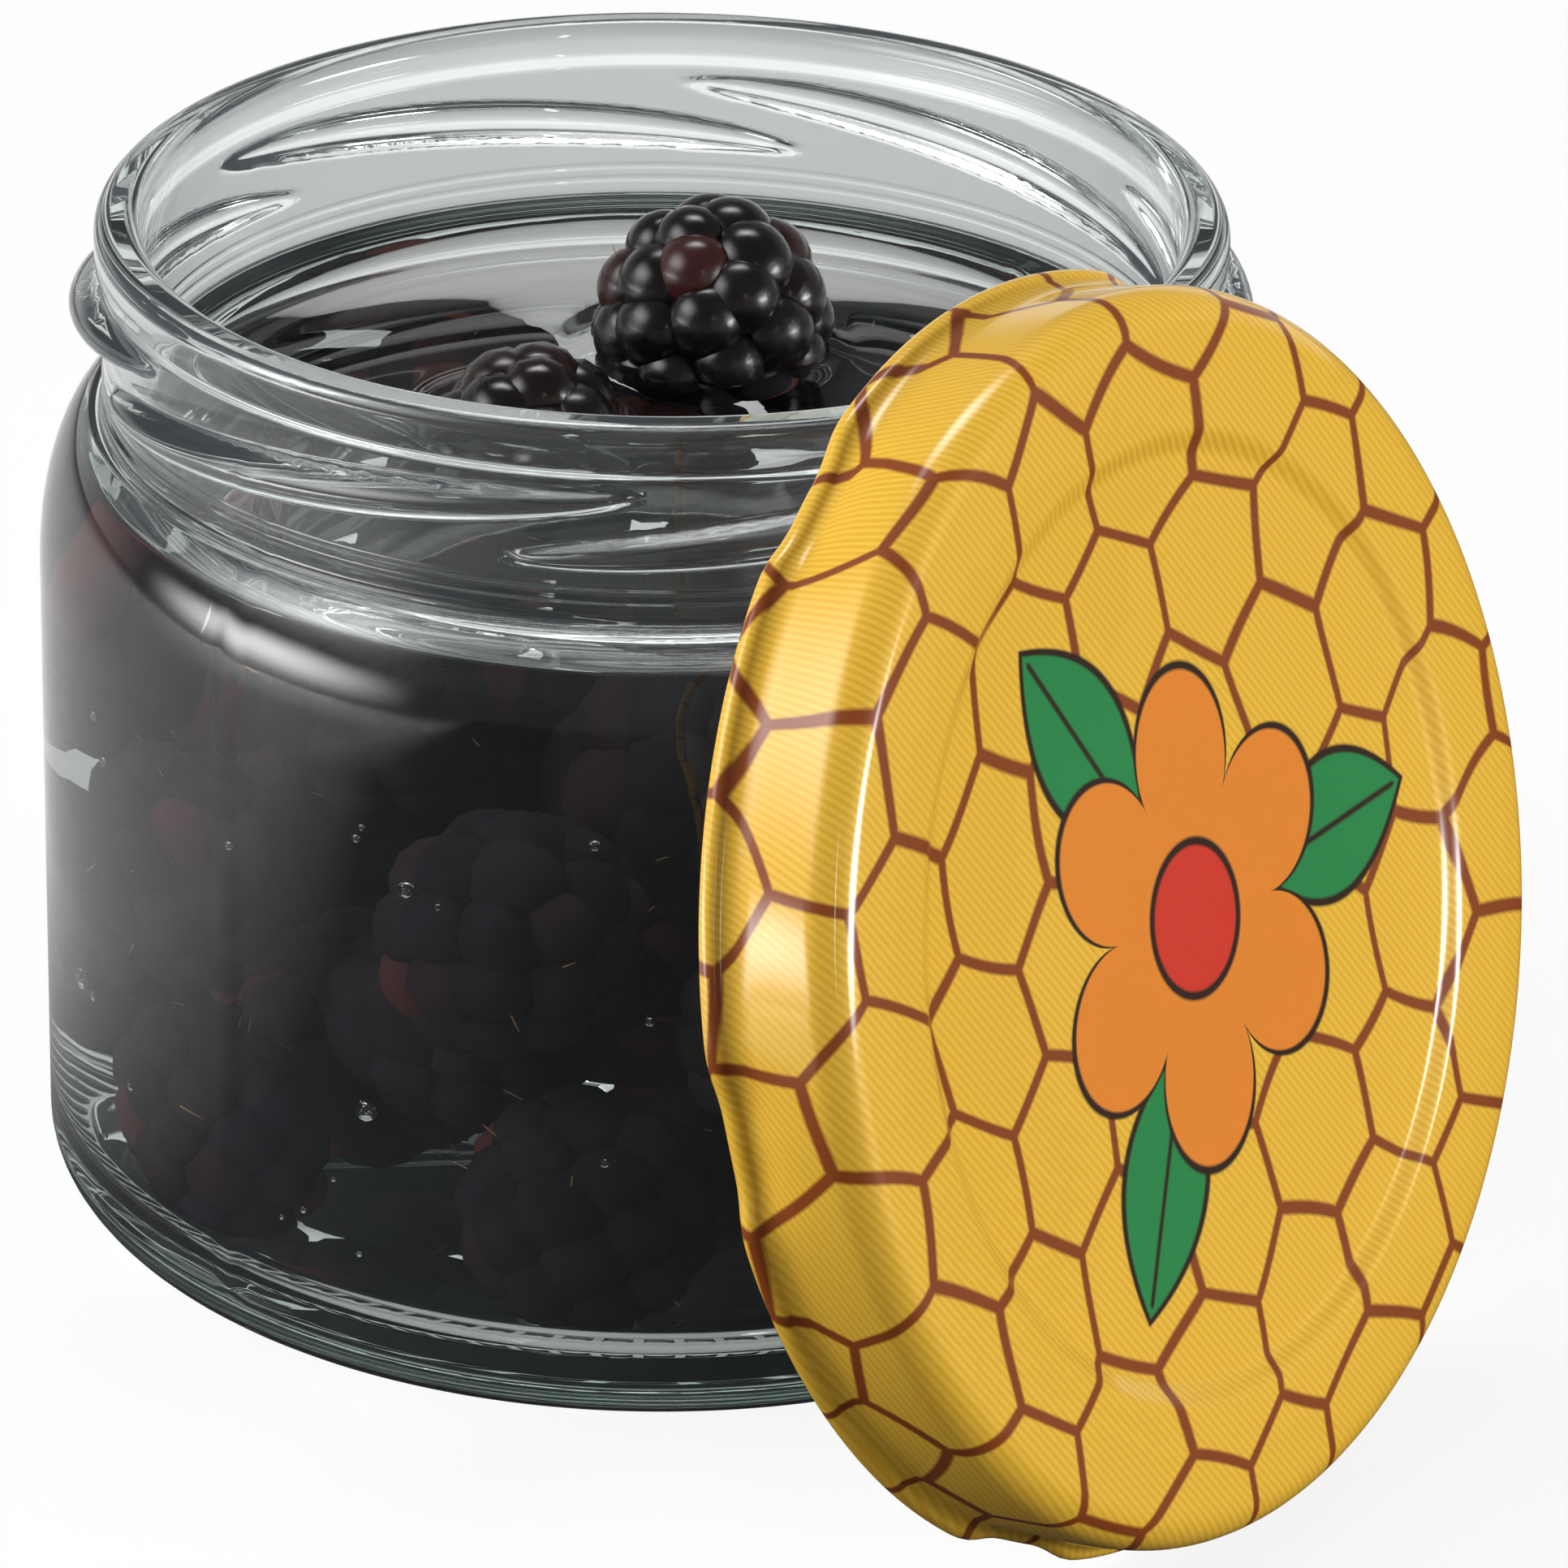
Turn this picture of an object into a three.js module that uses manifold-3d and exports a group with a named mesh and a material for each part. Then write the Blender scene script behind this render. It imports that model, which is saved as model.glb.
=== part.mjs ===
// A short wide-mouthed glass jar of dark berries, with its six-lug twist-off lid taken off.
// The lid stands on the table on its curl and leans against the jar, open side to the glass.
// Millimetres, +Z up. The origin is on the jar's axis, at the height of the table.
import * as THREE from 'three';
import { mergeVertices } from 'three/addons/utils/BufferGeometryUtils.js';
import Module from 'manifold-3d';

// Jar, outside
const JAR_HEIGHT = 74;
const BODY_DIAMETER = 86;
const HEEL_WIDTH = 11;
const HEEL_HEIGHT = 7;
const FOOT_RING_WIDTH = 5;
const SHOULDER_WIDTH = 4.6;
const SHOULDER_HEIGHT = 11.5;
const NECK_HEIGHT = 14;
const RIM_PROUD = 0.5;
const RIM_BEAD_HEIGHT = 3.2;
const RIM_ROUND = 1.2;

// Jar, inside
const BODY_WALL = 2.6;
const SHOULDER_WALL = 2.6;
const NECK_WALL = 2.8;
const BASE_THICKNESS = 4.5;
const PUSH_UP = 1.5;
const INNER_HEEL_WIDTH = 10.4;
const INNER_HEEL_HEIGHT = 6;

// Neck thread: separate beads that climb to the right, each over the start of the next
const THREAD_COUNT = 6;
const THREAD_DEPTH = 2.4;
const THREAD_BEAD_HEIGHT = 2.5;
const THREAD_SPAN = THREE.MathUtils.degToRad(72);
const THREAD_RISE = 4.7;
const THREAD_BELOW_RIM = 5.1; // from the top of the rim to the high end of a bead
const THREAD_START = THREE.MathUtils.degToRad(-9); // middle of the first bead

// Lid
const LID_HEIGHT = 10.2;
const LID_SHEET = 0.25;
const LID_ROUND = 2.6;
const SKIRT_CLEARANCE = 0.45; // between thread and skirt
const CURL_CLEARANCE = 0.2; // between thread and curl
const CURL_DIAMETER = 1.6;
const CURL_START = THREE.MathUtils.degToRad(60); // where the roll leaves the skirt's outer face
const CURL_END = THREE.MathUtils.degToRad(-225); // where it comes back to the inner face
const LAND_WIDTH = 6.9; // flat ring between the lid's rounded edge and its panel
const PANEL_DROP = 0.8;
const PANEL_SLOPE = 1.5;
const LUG_CLEARANCE = 0.2; // between rim and lug tip as the lid goes on
const LUG_LENGTH = 11.5;
const LUG_HEIGHT = 1.5;
const SEAL_WIDTH = 4.2;
const SEAL_THICKNESS = 1;
const SEAL_ROUND = 0.4;
const SEAL_GAP = 0.3;

// The lid's place beside the jar
const LID_TURN = THREE.MathUtils.degToRad(56); // from the front towards the right
const LID_LEAN = THREE.MathUtils.degToRad(14); // back from upright
const LID_SHIFT = -20; // along the lid's own width
const LEAN_GAP = 0.3;
const LEAN_PRECISION = 0.001;

// Fruit
const PILE_COUNT = 35;
const BERRY_LENGTH = 17.6;
const BERRY_LENGTH_SPREAD = 1.4;
const BERRY_PINCH = 0.3; // length less width
const BERRY_GAP = 0.2;
const BERRY_TUMBLE = [1.3, 0.7, 2.1]; // radians about X, Y and Z from one berry to the next
const BERRY_TRIES = 960;
const TOUCH_STEP = 1;
const PILE_TURN = THREE.MathUtils.degToRad(215); // of the whole pile about the jar's axis
const MIDDLE_BERRY_LENGTH = 17.8; // laid on the pile near the middle of the mouth
const MIDDLE_BERRY_X = -9.5;
const MIDDLE_BERRY_Y = 9;
const TOP_BERRY_LENGTH = 19.5; // laid on last of all
const TOP_BERRY_X = 3.5;
const TOP_BERRY_Y = 22;

// Fineness of the round forms
const ROUND_STEPS = 48;
const ARC_STEPS = 3;
const BEAD_SIDES = 8;
const BEAD_STEPS = 12;
const BERRY_DETAIL = 2;
const SEAM_TOLERANCE = 1e-4;

// Worked out from the sizes above
const bodyRadius = BODY_DIAMETER / 2;
const innerRadius = bodyRadius - BODY_WALL;
const footOuter = bodyRadius - HEEL_WIDTH;
const footInner = footOuter - FOOT_RING_WIDTH;
const floorRadius = innerRadius - INNER_HEEL_WIDTH;
const neckRadius = bodyRadius - SHOULDER_WIDTH;
const mouthRadius = neckRadius - NECK_WALL;
const rimRadius = neckRadius + RIM_PROUD;
const threadRadius = neckRadius + THREAD_DEPTH;
const neckBase = JAR_HEIGHT - NECK_HEIGHT;
const shoulderBase = neckBase - SHOULDER_HEIGHT;
const threadMiddle = JAR_HEIGHT - THREAD_BELOW_RIM - THREAD_RISE / 2;
const skirtInner = threadRadius + SKIRT_CLEARANCE;
const skirtOuter = skirtInner + LID_SHEET;
const curlRadius = CURL_DIAMETER / 2;
const curlCentre = threadRadius + CURL_CLEARANCE + curlRadius;

const QUARTER = Math.PI / 2;

const wasm = await Module();
wasm.setup();

// The closed solid of a three.js geometry, with its seams joined.
function solidOf(geometry) {
  const bare = geometry.clone();
  bare.deleteAttribute('normal');
  bare.deleteAttribute('uv');
  const joined = mergeVertices(bare, SEAM_TOLERANCE);
  const corners = joined.index.array;
  const faces = [];
  for (let i = 0; i < corners.length; i += 3) {
    const [a, b, c] = corners.slice(i, i + 3);
    if (a !== b && b !== c && c !== a) faces.push(a, b, c);
  }
  const vertProperties = joined.getAttribute('position').array;
  const triVerts = new Uint32Array(faces);
  return new wasm.Manifold(new wasm.Mesh({ numProp: 3, vertProperties, triVerts }));
}

function geometryOf(solid) {
  const { vertProperties, triVerts } = solid.getMesh();
  const geometry = new THREE.BufferGeometry();
  geometry.setAttribute('position', new THREE.BufferAttribute(vertProperties, 3));
  geometry.setIndex(new THREE.BufferAttribute(triVerts, 1));
  return geometry;
}

// A profile in radius and height, turned about the upright axis.
function turned(points) {
  return new THREE.LatheGeometry(points, ROUND_STEPS).rotateX(QUARTER);
}

// A long bead on a round wall, tapering to both ends and climbing as it goes round.
// It stands proud of the wall's radius on one side and is rooted in it on the other.
function wrappedBead({ wallRadius, proud, root, height, middle, span, centreHeight, rise }) {
  const bead = new THREE.SphereGeometry(1, BEAD_SIDES, BEAD_STEPS);
  const position = bead.getAttribute('position');
  for (let i = 0; i < position.count; i += 1) {
    const along = position.getY(i) / 2;
    const turn = middle + along * span;
    const across = position.getX(i);
    const radius = wallRadius + across * (across > 0 ? proud : root);
    const up = centreHeight + along * rise + (height / 2) * position.getZ(i);
    position.setXYZ(i, radius * Math.cos(turn), radius * Math.sin(turn), up);
  }
  return bead;
}

function finish(color, roughness, metalness) {
  return new THREE.MeshStandardMaterial({ color, roughness, metalness });
}

function piece(name, geometry, material) {
  geometry.computeVertexNormals();
  const mesh = new THREE.Mesh(geometry, material);
  mesh.name = name;
  return mesh;
}

// The jar's outside from the middle of the base up to the top of the rim.
function jarOutside() {
  const path = new THREE.Path();
  path.moveTo(0, PUSH_UP);
  path.quadraticCurveTo(footInner / 2, PUSH_UP, footInner, 0);
  path.lineTo(footOuter, 0);
  path.absellipse(footOuter, HEEL_HEIGHT, HEEL_WIDTH, HEEL_HEIGHT, -QUARTER, 0, false);
  path.lineTo(bodyRadius, shoulderBase);
  path.absellipse(neckRadius, shoulderBase, SHOULDER_WIDTH, SHOULDER_HEIGHT, 0, QUARTER, false);
  const rimBase = JAR_HEIGHT - RIM_BEAD_HEIGHT;
  path.lineTo(neckRadius, rimBase - RIM_PROUD);
  path.lineTo(rimRadius, rimBase);
  path.lineTo(rimRadius, JAR_HEIGHT - RIM_ROUND);
  path.absarc(rimRadius - RIM_ROUND, JAR_HEIGHT - RIM_ROUND, RIM_ROUND, 0, QUARTER, false);
  return path.getPoints(ARC_STEPS);
}

// The jar's inside from the top of the rim down to the middle of the floor.
function jarInside() {
  const path = new THREE.Path();
  const shoulderDepth = SHOULDER_HEIGHT - SHOULDER_WALL;
  const heelTop = BASE_THICKNESS + INNER_HEEL_HEIGHT;
  path.moveTo(mouthRadius + RIM_ROUND, JAR_HEIGHT);
  path.absarc(mouthRadius + RIM_ROUND, JAR_HEIGHT - RIM_ROUND, RIM_ROUND, QUARTER, 2 * QUARTER, false);
  path.lineTo(mouthRadius, shoulderBase + shoulderDepth);
  path.absellipse(mouthRadius, shoulderBase, innerRadius - mouthRadius, shoulderDepth, QUARTER, 0, true);
  path.lineTo(innerRadius, heelTop);
  path.absellipse(floorRadius, heelTop, INNER_HEEL_WIDTH, INNER_HEEL_HEIGHT, 0, -QUARTER, true);
  path.quadraticCurveTo(floorRadius / 2, BASE_THICKNESS + PUSH_UP, 0, BASE_THICKNESS + PUSH_UP);
  return path.getPoints(ARC_STEPS);
}

// Joins the neck's thread beads to a turned form whose neck has the given radius.
function addThread(form, wallRadius) {
  let threaded = form;
  for (let i = 0; i < THREAD_COUNT; i += 1) {
    const bead = wrappedBead({
      wallRadius,
      proud: THREAD_DEPTH,
      root: NECK_WALL / 2,
      height: THREAD_BEAD_HEIGHT,
      middle: THREAD_START + (i * 2 * Math.PI) / THREAD_COUNT,
      span: THREAD_SPAN,
      centreHeight: threadMiddle,
      rise: THREAD_RISE,
    });
    threaded = threaded.add(solidOf(bead));
  }
  return threaded;
}

// Pressed flint glass in one piece: wall, base with its push-up, rim and thread beads.
function glassJar() {
  const wall = solidOf(turned([...jarOutside(), ...jarInside()]));
  return geometryOf(addThread(wall, neckRadius));
}

// The jar without its hollow, grown outwards by the gap that the leaning lid keeps.
function jarObstacle() {
  const outline = jarOutside().map(({ x, y }) => new THREE.Vector2(x > 0 ? x + LEAN_GAP : 0, y));
  outline.push(new THREE.Vector2(0, JAR_HEIGHT));
  return addThread(solidOf(turned(outline)), neckRadius + LEAN_GAP);
}

// Stamped tinplate, drawn side up: recessed panel, rounded edge, skirt, rolled curl and pressed lugs.
function lidShell() {
  const path = new THREE.Path();
  const roundRadius = skirtOuter - LID_ROUND;
  const roundHeight = LID_HEIGHT - LID_ROUND;
  const panelRadius = roundRadius - LAND_WIDTH - PANEL_SLOPE;
  const panelTop = LID_HEIGHT - PANEL_DROP;
  const under = LID_HEIGHT - LID_SHEET;
  path.moveTo(0, panelTop);
  path.lineTo(panelRadius, panelTop);
  path.lineTo(panelRadius + PANEL_SLOPE, LID_HEIGHT);
  path.lineTo(roundRadius, LID_HEIGHT);
  path.absarc(roundRadius, roundHeight, LID_ROUND, QUARTER, 0, true);
  path.lineTo(skirtOuter, CURL_DIAMETER + curlRadius);
  path.absarc(curlCentre, curlRadius, curlRadius, CURL_START, CURL_END, true);
  path.lineTo(skirtInner, CURL_DIAMETER);
  path.lineTo(skirtInner, roundHeight);
  path.absarc(roundRadius, roundHeight, LID_ROUND - LID_SHEET, 0, QUARTER, false);
  path.lineTo(panelRadius + PANEL_SLOPE, under);
  path.lineTo(panelRadius, panelTop - LID_SHEET);
  path.lineTo(0, panelTop - LID_SHEET);
  let shell = solidOf(turned(path.getPoints(ARC_STEPS).reverse()));
  const lugTip = rimRadius + LUG_CLEARANCE;
  const halfDepth = (curlCentre - lugTip) / 2;
  for (let i = 0; i < THREAD_COUNT; i += 1) {
    const lug = wrappedBead({
      wallRadius: lugTip + halfDepth,
      proud: halfDepth,
      root: halfDepth,
      height: LUG_HEIGHT,
      middle: (i * 2 * Math.PI) / THREAD_COUNT,
      span: LUG_LENGTH / curlCentre,
      centreHeight: curlRadius,
      rise: 0,
    });
    shell = shell.add(solidOf(lug));
  }
  return geometryOf(shell);
}

// Soft sealing compound under the lid's edge, centred over the rim's land.
function sealingRing() {
  const middle = (rimRadius + mouthRadius) / 2;
  const inner = middle - SEAL_WIDTH / 2;
  const outer = middle + SEAL_WIDTH / 2;
  const top = LID_HEIGHT - LID_SHEET - SEAL_GAP;
  const bottom = top - SEAL_THICKNESS;
  const path = new THREE.Path();
  path.moveTo(inner, top);
  path.lineTo(inner, bottom + SEAL_ROUND);
  path.lineTo(inner + SEAL_ROUND, bottom);
  path.lineTo(outer - SEAL_ROUND, bottom);
  path.lineTo(outer, bottom + SEAL_ROUND);
  path.lineTo(outer, top);
  path.closePath();
  return geometryOf(solidOf(turned(path.getPoints(ARC_STEPS))));
}

// Stands the lid on its curl and moves it in, along the way it faces, until it all but meets the jar.
function leanLid(lid, shell) {
  lid.rotation.set(QUARTER - LID_LEAN, 0, LID_TURN, 'ZYX');
  const outward = new THREE.Vector3(Math.sin(LID_TURN), -Math.cos(LID_TURN), 0);
  const sideways = new THREE.Vector3(Math.cos(LID_TURN), Math.sin(LID_TURN), 0);
  const leaning = shell.clone().applyMatrix4(new THREE.Matrix4().makeRotationFromEuler(lid.rotation));
  leaning.computeBoundingBox();
  const place = sideways.multiplyScalar(LID_SHIFT);
  place.z = -leaning.boundingBox.min.z;
  const obstacle = jarObstacle();
  let meets = 0;
  let clears = BODY_DIAMETER + LID_HEIGHT + leaning.boundingBox.max.z;
  while (clears - meets > LEAN_PRECISION) {
    const distance = (meets + clears) / 2;
    const { x, y, z } = place.clone().addScaledVector(outward, distance);
    const overlap = solidOf(leaning.clone().translate(x, y, z)).intersect(obstacle);
    if (overlap.volume() > 0) meets = distance;
    else clears = distance;
  }
  lid.position.copy(place).addScaledVector(outward, clears);
}

// Close-set points of the jar's inside that fruit can touch, as radius and height.
function insidePoints() {
  const corners = jarInside();
  const points = [];
  for (let i = 1; i < corners.length; i += 1) {
    const steps = Math.ceil(corners[i].distanceTo(corners[i - 1]) / TOUCH_STEP);
    for (let k = 0; k < steps; k += 1) {
      points.push(corners[i - 1].clone().lerp(corners[i], k / steps));
    }
  }
  return points;
}
const wallPoints = insidePoints();

// How far up a ball over the point x, y comes to rest on the floor or on the fruit already there.
function restingHeight(x, y, radius, laid) {
  const out = Math.hypot(x, y);
  const contacts = wallPoints
    .filter((point) => point.y < shoulderBase)
    .map((point) => ({ side: point.x - out, height: point.y, reach: radius + BERRY_GAP }));
  for (const berry of laid) {
    const side = Math.hypot(berry.x - x, berry.y - y);
    contacts.push({ side, height: berry.z, reach: radius + berry.radius + BERRY_GAP });
  }
  let rest = 0;
  for (const { side, height, reach } of contacts) {
    if (Math.abs(side) < reach) rest = Math.max(rest, height + Math.sqrt(reach * reach - side * side));
  }
  return rest;
}

function clearOfNeck(x, y, z, radius) {
  const out = Math.hypot(x, y);
  return wallPoints.every((point) => (
    point.y < shoulderBase || Math.hypot(point.x - out, point.y - z) >= radius + BERRY_GAP
  ));
}

// Fills the jar from the bottom: each berry takes the lowest free place among many spread over the floor.
function pileBerries() {
  const goldenAngle = Math.PI * (3 - Math.sqrt(5));
  const laid = [];
  for (let i = 0; i < PILE_COUNT; i += 1) {
    const radius = (BERRY_LENGTH + BERRY_LENGTH_SPREAD * Math.sin(i * i)) / 2;
    const limit = innerRadius - radius - BERRY_GAP;
    let best = null;
    for (let k = 0; k < BERRY_TRIES; k += 1) {
      const out = limit * Math.sqrt(k / (BERRY_TRIES - 1));
      const turn = k * goldenAngle + i + PILE_TURN;
      const x = out * Math.cos(turn);
      const y = out * Math.sin(turn);
      const z = restingHeight(x, y, radius, laid);
      if ((best === null || z < best.z) && clearOfNeck(x, y, z, radius)) best = { x, y, z, radius };
    }
    laid.push(best);
  }
  return laid;
}

// One more berry, let down on to the pile over the point x, y.
function laidOn(pile, x, y, length) {
  const radius = length / 2;
  return { x, y, z: restingHeight(x, y, radius, pile), radius };
}

// A plain plump berry, a little longer than wide, turned its own way.
function berryPiece(name, berry, order) {
  const geometry = new THREE.IcosahedronGeometry(1, BERRY_DETAIL);
  const halfWidth = berry.radius - BERRY_PINCH / 2;
  geometry.scale(halfWidth, halfWidth, berry.radius);
  const mesh = piece(name, geometryOf(solidOf(geometry)), berrySkin);
  mesh.rotation.set(...BERRY_TUMBLE.map((step) => order * step));
  mesh.position.set(berry.x, berry.y, berry.z);
  return mesh;
}

const flintGlass = finish(0xdde6e2, 0.05, 0);
const printedTinplate = finish(0xe0a92c, 0.25, 0.3);
const sealingCompound = finish(0xf1eee4, 0.6, 0);
const berrySkin = finish(0x1d1318, 0.35, 0);

const jarOfBerries = new THREE.Group();
jarOfBerries.add(piece('glass_jar', glassJar(), flintGlass));

const lid = new THREE.Group();
const shell = lidShell();
leanLid(lid, shell);
lid.add(piece('lid_shell', shell, printedTinplate));
lid.add(piece('sealing_ring', sealingRing(), sealingCompound));
jarOfBerries.add(lid);

const pile = pileBerries();
pile.push(laidOn(pile, MIDDLE_BERRY_X, MIDDLE_BERRY_Y, MIDDLE_BERRY_LENGTH));
pile.forEach((berry, i) => {
  jarOfBerries.add(berryPiece(`berry_${String(i + 1).padStart(2, '0')}`, berry, i));
});
const topBerry = laidOn(pile, TOP_BERRY_X, TOP_BERRY_Y, TOP_BERRY_LENGTH);
jarOfBerries.add(berryPiece('top_berry', topBerry, pile.length));

export default jarOfBerries;
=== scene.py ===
import random
from math import atan2, cos, exp, hypot, pi, radians, sin, sqrt

import bmesh
import bpy
from mathutils import Matrix, Vector


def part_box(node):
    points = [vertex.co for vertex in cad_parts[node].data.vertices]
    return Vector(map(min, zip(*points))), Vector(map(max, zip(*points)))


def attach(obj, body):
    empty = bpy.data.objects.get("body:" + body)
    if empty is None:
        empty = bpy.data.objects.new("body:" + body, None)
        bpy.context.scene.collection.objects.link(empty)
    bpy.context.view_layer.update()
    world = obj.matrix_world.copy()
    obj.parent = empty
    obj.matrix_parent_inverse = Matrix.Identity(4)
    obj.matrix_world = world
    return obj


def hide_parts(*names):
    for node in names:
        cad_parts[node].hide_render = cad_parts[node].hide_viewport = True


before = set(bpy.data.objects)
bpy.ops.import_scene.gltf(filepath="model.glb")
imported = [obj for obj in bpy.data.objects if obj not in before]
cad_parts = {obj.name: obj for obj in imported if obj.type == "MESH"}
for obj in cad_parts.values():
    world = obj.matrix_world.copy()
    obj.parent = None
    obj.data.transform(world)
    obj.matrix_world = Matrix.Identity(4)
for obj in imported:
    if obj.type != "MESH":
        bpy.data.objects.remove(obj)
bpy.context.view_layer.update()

# Glass jar
# One piece of pressed flint glass: a thick base with a push-up, a straight wall and a round shoulder.
# Six beads on the neck take the lugs of the lid, and the rim above them is fire-polished.
MM = 0.001
jar_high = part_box("glass_jar")[1]
JAR_TOP = jar_high.z / MM
BODY_RADIUS = jar_high.x / MM
WALL = 2.6
INNER_RADIUS = BODY_RADIUS - WALL
NECK_INSET = 4.6
NECK_RADIUS = BODY_RADIUS - NECK_INSET
NECK_WALL = 2.8
NECK_BASE = JAR_TOP - 14
NECK_FOOT = NECK_BASE + 0.75
NECK_TOP = JAR_TOP - 4
NECK_FILLET = 0.95
NECK_ROWS = 48
MOUTH_RADIUS = NECK_RADIUS - NECK_WALL
RIM_STEP = ((0.08, 3.75), (0.25, 3.5), (0.42, 3.2), (0.5, 2.85))  # out from the neck, down from the top
RIM_RADIUS = NECK_RADIUS + RIM_STEP[-1][0]
RIM_ROUND = 1.2
SHOULDER_HEIGHT = 11.5
SHOULDER_BASE = NECK_BASE - SHOULDER_HEIGHT
SHOULDER_ARC = 80
INNER_SHOULDER = 8.9
INNER_SHOULDER_ARC = 76
MOUTH_FILLET = 1
MOUTH_FOOT = SHOULDER_BASE + INNER_SHOULDER + 0.8
HEEL_WIDTH = 11
HEEL_HEIGHT = 7
FOOT_RADIUS = BODY_RADIUS - HEEL_WIDTH
FLOOR_THICKNESS = 4.5
INNER_HEEL_WIDTH = 10.4
INNER_HEEL_HEIGHT = 6
FLOOR_RADIUS = INNER_RADIUS - INNER_HEEL_WIDTH
PUSH_UP = 1.5
PUSH_UP_RADIUS = FOOT_RADIUS - 5
PUSH_UP_RIM = 0.35
FOOT_EDGE = ((0.5, 0.08), (1.1, 0))  # out from the push-up, up from the table
KNURLS = 72
KNURL_INNER = FOOT_RADIUS - 3.4
KNURL_OUTER = FOOT_RADIUS - 0.6
KNURL_MARGIN = 0.3
KNURL_DEPTH = 0.2
BEADS = 6
BEAD_SPAN = radians(72)
BEAD_START = radians(-9)
BEAD_RISE = 4.7
BEAD_HEIGHT = 3.2
BEAD_PROUD = 2.4
BEAD_MIDDLE = JAR_TOP - 5.1 - BEAD_RISE / 2
MOULD_SEAM = radians(47.5)
SEAM_HALF = 0.01
SEAM_PROUD = 0.1
PARTING_LINES = (NECK_BASE + 1.5, NECK_BASE + 2.45)
PARTING_HALF = 0.1
PARTING_PROUD = 0.12
FILL_LEVEL = 54.8
EDGE_RISE = 1.3  # of the juice, where it is drawn up the wall
GLASS_STEPS = 288
LARGE_ROUND_STEPS = 20
SMALL_ROUND_STEPS = 6
RIM_STEPS = 8
INNER_SHOULDER_STEPS = 16
SEAM_GAP = 0.002
ON_WALL = 0.05
AT_PLACE = 0.01
NEAR = 1
FLINT_TINT = (0.94, 0.965, 0.955)
FLINT_BEND = 1.52
WETTED_BEND = 1.13  # light bends less where it goes from glass into juice
FLINT_WAVE = 9
FLINT_UNEVEN = 0.03
FILM = 0.016  # share of the dry glass that a dull film from handling covers
FILM_UNEVEN = (0.6, 1.4)
FILM_TONE = (0.84, 0.91, 1.0, 1)
SMUDGE_SCALE = 60.0
IRON_TONE = (0.72, 0.90, 0.80, 1)
IRON_DENSITY = 14.0


def arc(centre, radii, start, end, steps=12):
    """Points of an elliptic arc in the plane of radius and height, with its angles in degrees."""
    turns = [radians(start + (end - start) * i / steps) for i in range(steps + 1)]
    return [(centre[0] + radii[0] * cos(t), centre[1] + radii[1] * sin(t)) for t in turns]


def dome(radius, rim_height, rise, steps=10):
    """Points of a shallow dome from the axis out to its rim."""
    outs = [radius * i / steps for i in range(steps + 1)]
    return [(out, rim_height + rise * (1 - (out / radius) ** 2)) for out in outs]


def spin_outline(bm, outline, steps, closed=False):
    """Spins an outline of radius and height in millimetres about the upright axis."""
    verts = [bm.verts.new((out * MM, 0, up * MM)) for out, up in outline]
    pairs = list(zip(verts, verts[1:])) + ([(verts[-1], verts[0])] if closed else [])
    edges = [bm.edges.new(pair) for pair in pairs]
    before = set(bm.faces)
    bmesh.ops.spin(
        bm, geom=verts + edges, cent=(0, 0, 0), axis=(0, 0, 1), angle=2 * pi, steps=steps, use_merge=True)
    return [face for face in bm.faces if face not in before]


def close_seams(bm):
    """Merges the points that a spin leaves on its seam and poles, and turns all faces outwards."""
    bmesh.ops.remove_doubles(bm, verts=bm.verts, dist=SEAM_GAP * MM)
    bmesh.ops.recalc_face_normals(bm, faces=bm.faces)


def make_piece(name, bm, *materials):
    """Makes a mesh into a smoothly shaded object at the origin."""
    for face in bm.faces:
        face.smooth = True
    mesh = bpy.data.meshes.new(name)
    bm.to_mesh(mesh)
    bm.free()
    for material in materials:
        mesh.materials.append(material)
    piece = bpy.data.objects.new(name, mesh)
    bpy.context.collection.objects.link(piece)
    return piece


def add_node(tree, kind, inputs=None, **settings):
    """Adds a shader node, and links or sets its inputs by name or number."""
    made = tree.nodes.new("ShaderNode" + kind)
    for name, value in settings.items():
        setattr(made, name, value)
    for socket, value in (inputs or {}).items():
        if isinstance(value, bpy.types.NodeSocket):
            tree.links.new(value, made.inputs[socket])
        else:
            made.inputs[socket].default_value = value
    return made


def calc(tree, operation, first, second=0.0, third=0.0):
    """One step of arithmetic on up to three numbers."""
    return add_node(tree, "Math", {0: first, 1: second, 2: third}, operation=operation).outputs[0]


def ranged(tree, value, given, wanted):
    """Carries a value from one range over to another, and holds it at the ends."""
    return add_node(tree, "MapRange", {
        "Value": value, "From Min": given[0], "From Max": given[1],
        "To Min": wanted[0], "To Max": wanted[1],
    }).outputs[0]


def object_place(tree):
    """The place of a point on its piece, in metres."""
    return add_node(tree, "TexCoord").outputs["Object"]


def grain(tree, scale, detail):
    """A soft random grain all through a piece."""
    noise = add_node(tree, "TexNoise", {"Vector": object_place(tree), "Scale": scale, "Detail": detail})
    return noise.outputs["Fac"]


def bumps(tree, height, strength, depth):
    """The uneven normal that a grain gives, for a depth in millimetres."""
    made = add_node(tree, "Bump", {"Height": height, "Strength": strength, "Distance": depth * MM})
    return made.outputs["Normal"]


def new_material(name):
    """A material whose node tree is empty."""
    material = bpy.data.materials.new(name)
    material.use_nodes = True
    material.node_tree.nodes.clear()
    return material, material.node_tree


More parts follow.
